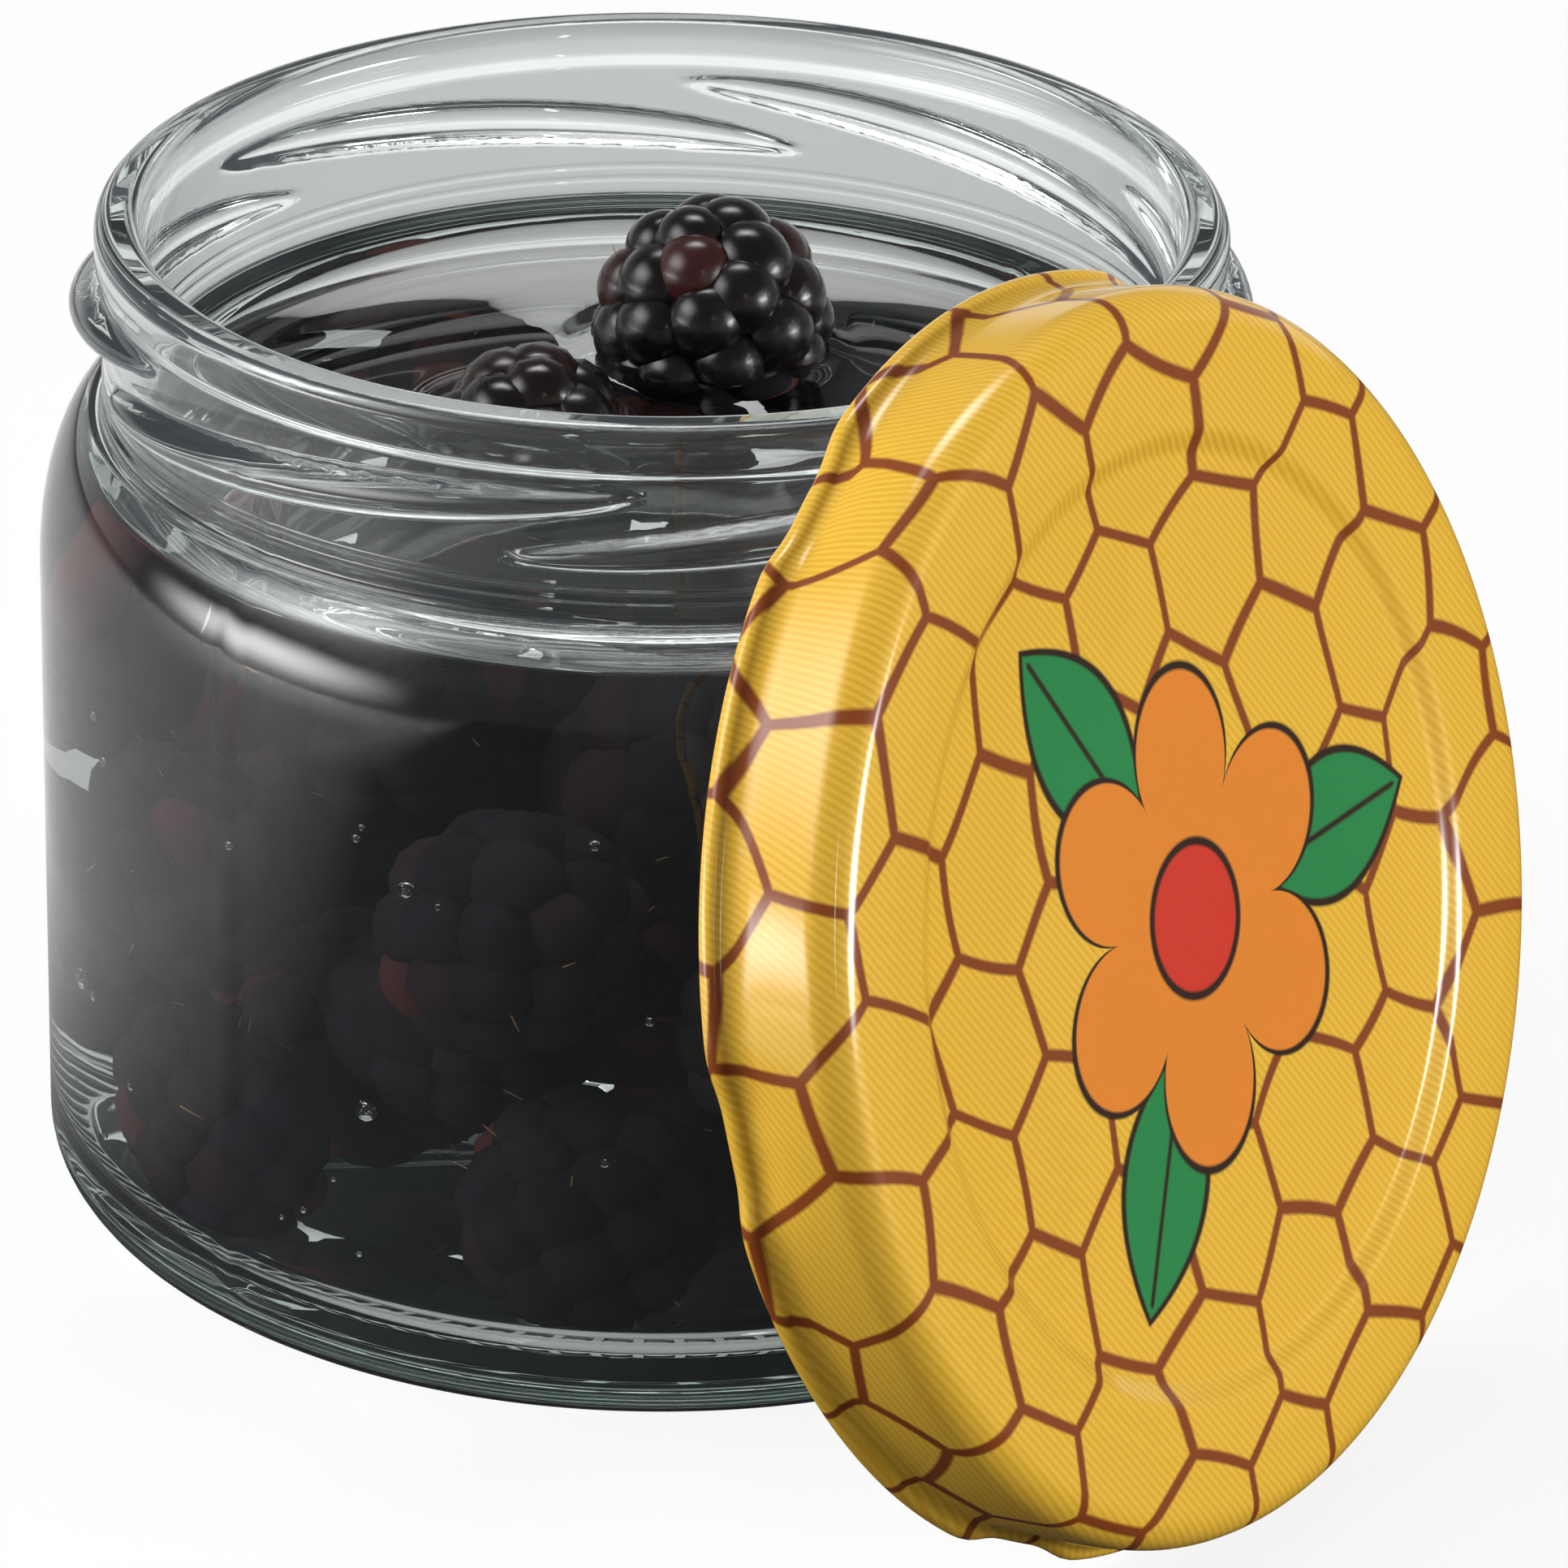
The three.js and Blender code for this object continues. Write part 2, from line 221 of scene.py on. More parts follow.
def clear_finish(name, tint, bend, wave_size, unevenness):
    """A clear material with a faint waviness that lets lamp light through, and the nodes it ends in."""
    material, tree = new_material(name)
    waves = grain(tree, 1 / (wave_size * MM), detail=2.0)
    clear = add_node(tree, "BsdfPrincipled", {
        "Base Color": (*tint, 1), "Roughness": 0.0, "IOR": bend, "Transmission Weight": 1.0,
        "Normal": bumps(tree, waves, unevenness, depth=1),
    })
    passing = add_node(tree, "BsdfTransparent", {"Color": (*tint, 1)})
    in_shadow = add_node(tree, "LightPath").outputs["Is Shadow Ray"]
    surface = add_node(tree, "MixShader", {0: in_shadow, 1: clear.outputs[0], 2: passing.outputs[0]})
    output = add_node(tree, "OutputMaterial", {"Surface": surface.outputs[0]})
    return material, clear, surface, output


def bead_proud(turn, up):
    """How far the neck's surface stands out at a turn about the axis and a height."""
    proud = 0.0
    for k in range(BEADS):
        off = turn - BEAD_START - 2 * pi * k / BEADS
        along = 2 * atan2(sin(off), cos(off)) / BEAD_SPAN
        if abs(along) >= 1:
            continue
        taper = sqrt(1 - along * along)
        across = (up - BEAD_MIDDLE - along * BEAD_RISE / 2) / (BEAD_HEIGHT / 2 * taper)
        if abs(across) < 1:
            proud = max(proud, BEAD_PROUD * taper * sqrt(1 - across * across))
    return proud


heel_middle = (FOOT_RADIUS, HEEL_HEIGHT)
shoulder_middle = (NECK_RADIUS, SHOULDER_BASE)
neck_fillet_middle = (NECK_RADIUS + NECK_FILLET, NECK_FOOT)
neck_step = (NECK_TOP - NECK_FOOT) / NECK_ROWS
outside = [
    *dome(PUSH_UP_RADIUS, PUSH_UP_RIM, PUSH_UP),
    *[(PUSH_UP_RADIUS + out, up) for out, up in FOOT_EDGE],
    (KNURL_INNER - KNURL_MARGIN, 0),
    (KNURL_INNER, 0),
    (KNURL_OUTER, 0),
    (KNURL_OUTER + KNURL_MARGIN, 0),
    *arc(heel_middle, (HEEL_WIDTH, HEEL_HEIGHT), -90, 0, LARGE_ROUND_STEPS),
    *arc(shoulder_middle, (NECK_INSET, SHOULDER_HEIGHT), 0, SHOULDER_ARC, LARGE_ROUND_STEPS),
    *arc(neck_fillet_middle, (NECK_FILLET, NECK_FILLET), SHOULDER_ARC - 180, -180, SMALL_ROUND_STEPS),
    *[(NECK_RADIUS, NECK_FOOT + neck_step * i) for i in range(1, NECK_ROWS + 1)],
    *[(NECK_RADIUS + out, JAR_TOP - down) for out, down in RIM_STEP],
    *arc((RIM_RADIUS - RIM_ROUND, JAR_TOP - RIM_ROUND), (RIM_ROUND, RIM_ROUND), 0, 90, RIM_STEPS),
]
mouth_fillet_middle = (MOUTH_RADIUS + MOUTH_FILLET, MOUTH_FOOT)
inner_shoulder_radii = (INNER_RADIUS - MOUTH_RADIUS, INNER_SHOULDER)
inner_heel_middle = (FLOOR_RADIUS, FLOOR_THICKNESS + INNER_HEEL_HEIGHT)
inside = [
    *arc((MOUTH_RADIUS + RIM_ROUND, JAR_TOP - RIM_ROUND), (RIM_ROUND, RIM_ROUND), 90, 180, RIM_STEPS),
    *arc(mouth_fillet_middle, (MOUTH_FILLET, MOUTH_FILLET), 180, 270, SMALL_ROUND_STEPS),
    *arc((MOUTH_RADIUS, SHOULDER_BASE), inner_shoulder_radii, INNER_SHOULDER_ARC, 0, INNER_SHOULDER_STEPS),
    *arc(inner_heel_middle, (INNER_HEEL_WIDTH, INNER_HEEL_HEIGHT), 0, -90, LARGE_ROUND_STEPS),
    *reversed(dome(FLOOR_RADIUS, FLOOR_THICKNESS, PUSH_UP)[:-1]),
]
glass = bmesh.new()
wetted = glass.verts.layers.float.new("wetted")
spin_outline(glass, outside + inside, GLASS_STEPS)
close_seams(glass)
glass.normal_update()
for vert in glass.verts:
    out, up = hypot(vert.co.x, vert.co.y) / MM, vert.co.z / MM
    turn = atan2(vert.co.y, vert.co.x)
    outward = vert.normal.x * vert.co.x + vert.normal.y * vert.co.y
    on_seam = (turn - MOULD_SEAM + SEAM_HALF) % pi < 2 * SEAM_HALF
    on_knurls = up < AT_PLACE and KNURL_INNER - AT_PLACE < out < KNURL_OUTER + AT_PLACE
    proud = 0.0
    if abs(out - NECK_RADIUS) < ON_WALL and up > NECK_BASE:
        proud = bead_proud(turn, up)
        proud += PARTING_PROUD * any(abs(up - line) < PARTING_HALF for line in PARTING_LINES)
    if outward > 0 and HEEL_HEIGHT < up < NECK_TOP and on_seam:
        proud += SEAM_PROUD
    if on_knurls and sin(KNURLS * turn) > 0:
        vert.co.z = KNURL_DEPTH * MM
    if proud:
        vert.co.x *= 1 + proud / out
        vert.co.y *= 1 + proud / out
    on_floor = vert.normal.z > 0 and up < FLOOR_THICKNESS + INNER_HEEL_HEIGHT + NEAR
    under_juice = FLOOR_THICKNESS - NEAR < up < FILL_LEVEL + EDGE_RISE
    vert[wetted] = float(under_juice and (outward <= 0 or on_floor))

flint, clear, surface, output = clear_finish(
    "flint_glass", FLINT_TINT, FLINT_BEND, FLINT_WAVE, FLINT_UNEVEN)
tree = flint.node_tree
wet = add_node(tree, "Attribute", attribute_name="wetted").outputs["Fac"]
tree.links.new(ranged(tree, wet, (0.0, 1.0), (FLINT_BEND, WETTED_BEND)), clear.inputs["IOR"])
smudges = grain(tree, SMUDGE_SCALE, detail=3.0)
smudged = ranged(tree, smudges, (0.0, 1.0), [FILM * share for share in FILM_UNEVEN])
film_cover = calc(tree, "MULTIPLY", smudged, calc(tree, "SUBTRACT", 1.0, wet))
film = add_node(tree, "BsdfDiffuse", {"Color": FILM_TONE})
filmed = add_node(tree, "MixShader", {0: film_cover, 1: clear.outputs[0], 2: film.outputs[0]})
tree.links.new(filmed.outputs[0], surface.inputs[1])
iron = add_node(tree, "VolumeAbsorption", {"Color": IRON_TONE, "Density": IRON_DENSITY})
tree.links.new(iron.outputs[0], output.inputs["Volume"])

jar = make_piece("pressed_jar", glass, flint)
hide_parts("glass_jar")
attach(jar, "jar")

# Berries
# Ripe bramble fruit packed by hand, each a cluster of round drupelets about a soft core.
# They touch each other and the glass, and a few dried hairs still stand between the drupelets.
DRUPELETS = 34
DRUPELET_DETAIL = 2
DRUPELET_ROOT = -0.35
DRUPELET_FLAT = 0.88
DRUPELET_SIZE = 0.57  # share of the distance between neighbours
DRUPELET_SIZES = (0.9, 1.1)
DRUPELET_WIDTHS = (0.9, 1.05)
DRUPELET_REACH = 1.03  # share of the fruit's half width
DRUPELET_SLACK = 0.09
BERRY_CORE = 0.72
CORE_DETAIL = 3
BERRY_WIDTH = 0.9
STANDING_LEAN = 0.1  # what is left of the lean of fruit that stands out of the juice
GOLDEN_ANGLE = pi * (3 - sqrt(5))
HAIRS = 7
HAIR_SIDES = 5
HAIR_LENGTH = 2.0
HAIR_ROOT = 0.07
HAIR_TIP = 0.03
HAIR_SPREAD = 0.5
HAIR_RIPENESS = 2.0
RIPEST_DRUPELET = 0.97
SKIN_TONES = (
    (0.0, (0.003, 0.0022, 0.0024, 1)),
    (0.6, (0.0045, 0.003, 0.0036, 1)),
    (0.85, (0.012, 0.004, 0.004, 1)),
    (0.98, (0.045, 0.009, 0.007, 1)),
    (1.0, (0.20, 0.11, 0.045, 1)),
)
SKIN_BEND = 1.42
SKIN_COAT_ROUGHNESS = 0.1
BLOOM_SCALE = 420.0
BLOOM_RANGE = (0.3, 0.7)
DIMPLE_STRENGTH = 0.05
DIMPLE_DEPTH = 0.2
berry_nodes = sorted(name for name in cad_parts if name.startswith("berry_"))


def berry_place(node):
    """Centre and mean half width of a fruit's solid, in metres."""
    low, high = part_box(node)
    return (low + high) / 2, sum(high - low) / 6


def drupelet(detail):
    """A round drupelet of unit size without its hidden root, closed underneath."""
    bm = bmesh.new()
    bmesh.ops.create_icosphere(bm, subdivisions=detail, radius=1)
    geom = bm.verts[:] + bm.edges[:] + bm.faces[:]
    root = (0, 0, DRUPELET_ROOT)
    cut = bmesh.ops.bisect_plane(bm, geom=geom, plane_co=root, plane_no=(0, 0, 1), clear_inner=True)
    bmesh.ops.holes_fill(bm, edges=[e for e in cut["geom_cut"] if isinstance(e, bmesh.types.BMEdge)])
    mesh = bpy.data.meshes.new("drupelet")
    bm.to_mesh(mesh)
    bm.free()
    return mesh


def pointed(direction):
    """The turn that points an upright shape in a direction."""
    return direction.to_track_quat("Z", "Y").to_matrix().to_4x4()


def make_berry(name, node, count, detail, seed):
    """A berry of drupelets in the place of a fruit's solid."""
    draw = random.Random(seed)
    centre, half = berry_place(node)
    spacing = sqrt(4 * pi / count)
    swing, lean = draw.uniform(0, 2 * pi), draw.uniform(0, pi)
    if centre.z + half > FILL_LEVEL * MM:
        lean *= STANDING_LEAN
    tilt = Matrix.Rotation(swing, 4, "Z") @ Matrix.Rotation(lean, 4, "X")
    bm = bmesh.new()
    ripeness = bm.verts.layers.float.new("ripeness")
    shape = drupelet(detail)
    core = bmesh.ops.create_icosphere(bm, subdivisions=CORE_DETAIL, radius=half * BERRY_CORE)
    bmesh.ops.translate(bm, verts=core["verts"], vec=centre)
    for k in range(count):
        up = 1 - 2 * (k + 0.5) / count
        turn = k * GOLDEN_ANGLE + draw.uniform(-DRUPELET_SLACK, DRUPELET_SLACK)
        ring = sqrt(1 - up * up)
        tip = Vector((ring * cos(turn) * BERRY_WIDTH, ring * sin(turn) * BERRY_WIDTH, up))
        out = tilt @ Vector((ring * cos(turn), ring * sin(turn), up * BERRY_WIDTH)).normalized()
        size = half * spacing * DRUPELET_SIZE * draw.uniform(*DRUPELET_SIZES)
        seat = centre + tilt @ (tip * half * DRUPELET_REACH) - out * size * DRUPELET_FLAT
        width = size * draw.uniform(*DRUPELET_WIDTHS)
        stretch = Matrix.Diagonal((size, width, size * DRUPELET_FLAT, 1))
        shade = RIPEST_DRUPELET * draw.random()
        known = len(bm.verts)
        bm.from_mesh(shape)
        bm.verts.ensure_lookup_table()
        added = bm.verts[known:]
        bmesh.ops.transform(bm, matrix=Matrix.Translation(seat) @ pointed(out) @ stretch, verts=added)
        for vert in added:
            vert[ripeness] = shade
    for k in range(HAIRS):
        out = Vector([draw.gauss(0, 1) for axis in "xyz"]).normalized()
        along = (out + Vector([draw.gauss(0, HAIR_SPREAD) for axis in "xyz"])).normalized()
        hair_place = Matrix.Translation(centre + out * half * BERRY_WIDTH) @ pointed(along)
        hair = bmesh.ops.create_cone(
            bm, cap_ends=True, segments=HAIR_SIDES, radius1=HAIR_ROOT * MM, radius2=HAIR_TIP * MM,
            depth=HAIR_LENGTH * MM, matrix=hair_place)
        for vert in hair["verts"]:
            vert[ripeness] = HAIR_RIPENESS
    bpy.data.meshes.remove(shape)
    for face in bm.faces:
        face.material_index = int(face.calc_center_median().z > FILL_LEVEL * MM)
    return make_piece(name, bm, skin_in_juice, skin_in_air)


def tone_ramp(tree, value, tones):
    """A colour that runs through tones, each with its place between nothing and one."""
    made = add_node(tree, "ValToRGB", {"Fac": value})
    elements = made.color_ramp.elements
    elements[0].color = tones[0][1]
    elements[1].color = tones[-1][1]
    for place, tone in tones[1:-1]:
        elements.new(place).color = tone
    return made.outputs["Color"]


def berry_skin(name, bloom_and_sheen_tone, shine, gloss, coat):
    """Dark fruit skin, whose shine depends on whether juice or air lies on it; under juice its added bloom
    tone is lighter and bluer, a painted sheen.
    """
    material, tree = new_material(name)
    ripeness = add_node(tree, "Attribute", attribute_name="ripeness").outputs["Fac"]
    bloom = grain(tree, BLOOM_SCALE, detail=4.0)
    # bloom and painted sheen: a tone that the grain adds to the skin's colour
    bloom_and_sheen = add_node(tree, "Mix", {
        "Factor": bloom, 6: tone_ramp(tree, ripeness, SKIN_TONES), 7: (*bloom_and_sheen_tone, 1),
    }, data_type="RGBA", blend_type="ADD")
    skin = add_node(tree, "BsdfPrincipled", {
        "Base Color": bloom_and_sheen.outputs[2], "Roughness": ranged(tree, bloom, BLOOM_RANGE, gloss),
        "IOR": SKIN_BEND, "Specular IOR Level": shine,
        "Coat Weight": coat, "Coat Roughness": SKIN_COAT_ROUGHNESS,
        "Normal": bumps(tree, bloom, DIMPLE_STRENGTH, DIMPLE_DEPTH),
    })
    add_node(tree, "OutputMaterial", {"Surface": skin.outputs[0]})
    return material


# under juice the added tone is lighter and bluer than in air: painted sheen in place of the lost shine, as
# well as bloom
skin_in_juice = berry_skin(
    "berry_skin_in_juice", bloom_and_sheen_tone=(0.010, 0.0105, 0.013), shine=0.0, gloss=(0.3, 0.5), coat=0.0)
skin_in_air = berry_skin(
    "berry_skin_in_air", bloom_and_sheen_tone=(0.004, 0.0028, 0.003), shine=0.45, gloss=(0.17, 0.3), coat=0.2)
for node in berry_nodes:
    number = int(node.split("_")[1])
    berry = make_berry(f"fruit_{number:02d}", node, DRUPELETS, DRUPELET_DETAIL, seed=number)
    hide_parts(node)
    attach(berry, "jar")

# Top berry
# The largest berry, lifted out of the liquid by the fruit under it.
# It is loose and comes out through the mouth.
TOP_DRUPELETS = 44
TOP_DRUPELET_DETAIL = 3
TOP_SEED = 100
top_berry = make_berry("top_fruit", "top_berry", TOP_DRUPELETS, TOP_DRUPELET_DETAIL, TOP_SEED)
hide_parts("top_berry")
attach(top_berry, "top_berry")

# Liquid
# Clear juice that fills the gaps between the fruit and wets the glass, with its edge drawn up the wall.
# Small air bubbles cling to the wall and to the fruit.
EDGE_REACH = 1.6
EDGE_BAND = 1.5
FRUIT_RISE = 0.5
FRUIT_REACH = 0.8
FRUIT_WAIST = 0.95  # share of the fruit's half width at the level, below its drupelets' tips
SURFACE_BAND = 0.5
INTO_GLASS = 0.06
LIQUID_STEPS = 160
SURFACE_RINGS = 56
BUBBLES = 90
BUBBLE_SEED = 7
BUBBLE_SIZES = (0.18, 0.45)
LARGE_BUBBLE = 1.9
SMALL_BUBBLES = 0.75  # share of all bubbles
LOWEST_BUBBLE = 11
BUBBLE_DEPTH = 2
BUBBLE_OFF_WALL = (0.1, 1.0)
BUBBLE_OFF_FRUIT = 1.04
MISSED_BUBBLE = 0.02  # what a spot that fruit or shoulder takes up counts for
JUICE_TINT = (0.985, 0.975, 0.975)
JUICE_BEND = 1.345
JUICE_WAVE = 14
JUICE_UNEVEN = 0.02
level_radius = next(out for out, up in reversed(inside) if up > FILL_LEVEL + EDGE_RISE) + INTO_GLASS
juice_side = [(out + INTO_GLASS, up - INTO_GLASS) for out, up in reversed(inside) if up < FILL_LEVEL]
juice_side[0] = (0, juice_side[0][1])  # it starts on the axis
juice_outs = [level_radius * (1 - i / SURFACE_RINGS) for i in range(SURFACE_RINGS + 1)]
juice_top = [(out, FILL_LEVEL + EDGE_RISE * exp((out - level_radius) / EDGE_REACH)) for out in juice_outs]
liquid = bmesh.new()
spin_outline(liquid, juice_side + juice_top, LIQUID_STEPS)
close_seams(liquid)
fruit_places = [berry_place(node) for node in berry_nodes + ["top_berry"]]
for vert in liquid.verts:
    on_top = vert.co.z >= (FILL_LEVEL - SURFACE_BAND) * MM
    off_wall = hypot(vert.co.x, vert.co.y) <= (level_radius - EDGE_BAND) * MM
    if not (on_top and off_wall):
        continue
    climb = 0.0
    for centre, half in fruit_places:
        depth = abs(centre.z - FILL_LEVEL * MM)
        if depth < half:
            waist = sqrt(half * half - depth * depth) * FRUIT_WAIST
            gap = hypot(vert.co.x - centre.x, vert.co.y - centre.y) - waist
            climb = max(climb, FRUIT_RISE * exp(-max(gap, 0) / MM / FRUIT_REACH))
    vert.co.z += climb * MM
for face in liquid.faces:
    middle = face.calc_center_median()
    on_side = middle.z < (FILL_LEVEL - SURFACE_BAND) * MM
    on_edge = hypot(middle.x, middle.y) > (level_radius - AT_PLACE) * MM
    face.material_index = int(on_side or on_edge)
draw = random.Random(BUBBLE_SEED)
bubbles = 0
while bubbles < BUBBLES:
    size = draw.uniform(*BUBBLE_SIZES) * (LARGE_BUBBLE if draw.random() > SMALL_BUBBLES else 1)
    turn, up = draw.uniform(0, 2 * pi), draw.uniform(LOWEST_BUBBLE, FILL_LEVEL - BUBBLE_DEPTH)
    out = INNER_RADIUS - size - draw.uniform(*BUBBLE_OFF_WALL)
    spot = Vector((out * cos(turn), out * sin(turn), up)) * MM
    gaps = [(spot - centre).length - half * BUBBLE_OFF_FRUIT for centre, half in fruit_places]
    if min(gaps) < size * MM or up > SHOULDER_BASE - NEAR:
        bubbles += MISSED_BUBBLE
        continue
    bubble = bmesh.ops.create_icosphere(
        liquid, subdivisions=2, radius=size * MM, matrix=Matrix.Translation(spot))
    hollow = {face for vert in bubble["verts"] for face in vert.link_faces}
    bmesh.ops.reverse_faces(liquid, faces=list(hollow))
    bubbles += 1
juice = clear_finish("clear_juice", JUICE_TINT, JUICE_BEND, JUICE_WAVE, JUICE_UNEVEN)[0]
juice_on_glass = clear_finish("juice_against_glass", (1, 1, 1), 1.0, JUICE_WAVE, 0.0)[0]
juice_piece = make_piece("juice", liquid, juice, juice_on_glass)
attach(juice_piece, "jar")

# Lid
# One stamping of tinplate, lacquered white inside and printed outside before it was pressed.
# Its edge is rolled into a curl, and the curl is pressed in at six places into lugs.
LID_TURN = radians(56)
LID_LEAN = radians(14)
ring_points = [vert.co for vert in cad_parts["sealing_ring"].data.vertices]
ring_centre = sum(ring_points, Vector()) / len(ring_points)
lid_axis = Vector((sin(LID_TURN) * cos(LID_LEAN), -cos(LID_TURN) * cos(LID_LEAN), sin(LID_LEAN)))
lid_side = Vector((cos(LID_TURN), sin(LID_TURN), 0))
lid_turned = Matrix((lid_side, lid_axis.cross(lid_side), lid_axis)).transposed().to_4x4()
shell_points = [vert.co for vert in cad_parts["lid_shell"].data.vertices]
shell_heights = [(point - ring_centre).dot(lid_axis) for point in shell_points]
lid_place = Matrix.Translation(ring_centre + lid_axis * min(shell_heights)) @ lid_turned
LID_HEIGHT = (max(shell_heights) - min(shell_heights)) / MM
LID_ROUND = 2.6
SHEET = 0.25
SKIRT_RADIUS = 41.5
SKIRT_ROWS = (5.2, 3.6, 2.4)
ENAMEL_ROWS = (2.0, 3.6, 5.2)
CURL_RADIUS = 0.8
CURL_CENTRE = 41.8
CURL_START = 75
CURL_END = -225
CURL_STEPS = 20
PANEL_RADIUS = 30.2
PANEL_CROWN = ((0.0, 0.15), (0.5, 0.12))  # share of the panel's radius, rise over its edge
PANEL_STEP = 2.1
PANEL_DROP = 0.8
LUGS = 6
LUG_WIDTH = radians(6.5)
LUG_TOP = 4.5
LUG_FADE = 2.9
LUG_INNER_TOP = 1.7
LUG_OUTSIDE = 1.0
LUG_INSIDE = 1.9
LID_STEPS = 288
PRINT_SHEET = 120
round_out = SKIRT_RADIUS - LID_ROUND
round_up = LID_HEIGHT - LID_ROUND


def panel(lift, steps=8):
    """The crowned panel, and the smooth rise from its edge to the land round it."""
    low = LID_HEIGHT - PANEL_DROP + lift
    shares = [i / steps for i in range(steps + 1)]
    rise = [(PANEL_RADIUS + PANEL_STEP * s, low + PANEL_DROP * (0.5 - 0.5 * cos(pi * s))) for s in shares]
    return [(PANEL_RADIUS * share, low + crown) for share, crown in PANEL_CROWN] + rise


def print_place(co):
    """Where a point of the stamped lid lay on the flat printed sheet, in millimetres."""
    out, up, turn = hypot(co.x, co.y) / MM, co.z / MM, atan2(co.y, co.x)
    if out > round_out:
        bent = atan2(max(out - round_out, 0), max(up - round_up, 0))
        out = round_out + LID_ROUND * bent + max(round_up - up, 0)
    return Vector((out * cos(turn), out * sin(turn)))


printed = [
    *panel(0),
    *arc((round_out, round_up), (LID_ROUND, LID_ROUND), 90, 0),
    *[(SKIRT_RADIUS, up) for up in SKIRT_ROWS],
    *arc((CURL_CENTRE, CURL_RADIUS), (CURL_RADIUS, CURL_RADIUS), CURL_START, CURL_END, CURL_STEPS),
]
enamel = [
    printed[-1],
    *[(SKIRT_RADIUS - SHEET, up) for up in ENAMEL_ROWS],
    *arc((round_out, round_up), (LID_ROUND - SHEET, LID_ROUND - SHEET), 0, 90),
    *reversed(panel(-SHEET)),
]
sheet = bmesh.new()
spin_outline(sheet, printed, LID_STEPS)
for face in spin_outline(sheet, enamel, LID_STEPS):
    face.material_index = 1
close_seams(sheet)
print_map = sheet.loops.layers.uv.new("print")
for face in sheet.faces:
    for loop in face.loops:
        loop[print_map].uv = print_place(loop.vert.co) / PRINT_SHEET + Vector((0.5, 0.5))
for vert in sheet.verts:
    out, up = hypot(vert.co.x, vert.co.y) / MM, vert.co.z / MM
    if up > LUG_TOP or out < round_out:
        continue
    turn = atan2(vert.co.y, vert.co.x)
    off = (turn + pi / LUGS) % (2 * pi / LUGS) - pi / LUGS
    press = exp(-((off / LUG_WIDTH) ** 4)) * min(1, (LUG_TOP - up) / LUG_FADE)
    inward = LUG_INSIDE if out < CURL_CENTRE and up < LUG_INNER_TOP else LUG_OUTSIDE
    vert.co.x *= 1 - press * inward / out
    vert.co.y *= 1 - press * inward / out
bmesh.ops.transform(sheet, matrix=lid_place, verts=sheet.verts)

GOLD = (0.84, 0.46, 0.026, 1)
PALE_GOLD = (0.91, 0.57, 0.07, 1)
BROWN = (0.27, 0.060, 0.010, 1)
INK = (0.030, 0.012, 0.006, 1)
PETAL = (0.86, 0.27, 0.028, 1)
HEART = (0.70, 0.045, 0.020, 1)
LEAF = (0.022, 0.26, 0.070, 1)
PRINT_SOFTNESS = 0.12
OUTLINE = 0.6
CELL = 11.5
CELL_HALF = (0.5, sqrt(3) / 2, 1)
CELL_SLANT = (0.5, sqrt(3) / 2, 0)  # to the next cell's middle, square to the side between
COMB_LINE = 0.42
COMB_SHIFT = (2.1, -1.3)
COMB_WANDER = 7
COMB_WANDER_SCALE = 0.05
SCREEN_PITCH = 0.55
SCREEN_SLANT = (0.82, 0.57, 0)
LEAVES = 3
LEAF_MIDDLE = 17.5
LEAF_HALF_LENGTH = 9.5
LEAF_HALF_WIDTH = 5.2
VEIN_HALF_WIDTH = 0.22
VEIN_MARGIN = 1.2
PETAL_PAIRS = 3
PETAL_TURN = 0.5
PETAL_DEPTH = 7.5
PETAL_ROUNDNESS = 0.6
FLOWER_WAIST = 9.6
HEART_RADIUS = 5.4


def mask(tree, value, edge):
    """One below the edge, nothing above it, with a soft step between."""
    return ranged(tree, value, (edge - PRINT_SOFTNESS, edge + PRINT_SOFTNESS), (1.0, 0.0))


def vector_calc(tree, operation, *terms, out="Vector"):
    """One step of arithmetic on places."""
    return add_node(tree, "VectorMath", dict(enumerate(terms)), operation=operation).outputs[out]


def distance(tree, place):
    """How far a place is from the origin."""
    return vector_calc(tree, "LENGTH", place, out="Value")


def paint(tree, under, over, cover):
    """One colour over another."""
    return add_node(tree, "Mix", {"Factor": cover, 6: under, 7: over}, data_type="RGBA").outputs[2]


def outlined(tree, under, tone, value, edge):
    """A shape in one tone with an ink line round it."""
    inked = paint(tree, under, INK, mask(tree, value, edge))
    return paint(tree, inked, tone, mask(tree, value, edge - OUTLINE))


print_finish, tree = new_material("printed_lacquer")
sheet_place = add_node(tree, "UVMap", uv_map="print").outputs["UV"]
sheet_middle = (-PRINT_SHEET / 2, -PRINT_SHEET / 2, 0)
flat = vector_calc(tree, "MULTIPLY_ADD", sheet_place, (PRINT_SHEET, PRINT_SHEET, 0), sheet_middle)

# the honeycomb: two grids of places, half a cell apart, and the nearer of the two is a cell's middle
wander = add_node(tree, "TexNoise", {
    "Vector": flat, "Scale": COMB_WANDER_SCALE, "Detail": 0.0}).outputs["Color"]
comb_start = (COMB_SHIFT[0] - COMB_WANDER / 2, COMB_SHIFT[1] - COMB_WANDER / 2, 0)
shift = vector_calc(tree, "MULTIPLY_ADD", wander, (COMB_WANDER, COMB_WANDER, 0), comb_start)
comb = vector_calc(tree, "MULTIPLY", vector_calc(tree, "ADD", flat, shift), (1 / CELL, 1 / CELL, 0))
half_along = vector_calc(tree, "SUBTRACT", comb, CELL_SLANT)
below_half = tuple(-side for side in CELL_HALF)
first = vector_calc(tree, "WRAP", comb, CELL_HALF, below_half)
second = vector_calc(tree, "WRAP", half_along, CELL_HALF, below_half)
nearer = calc(tree, "LESS_THAN", distance(tree, second), distance(tree, first))
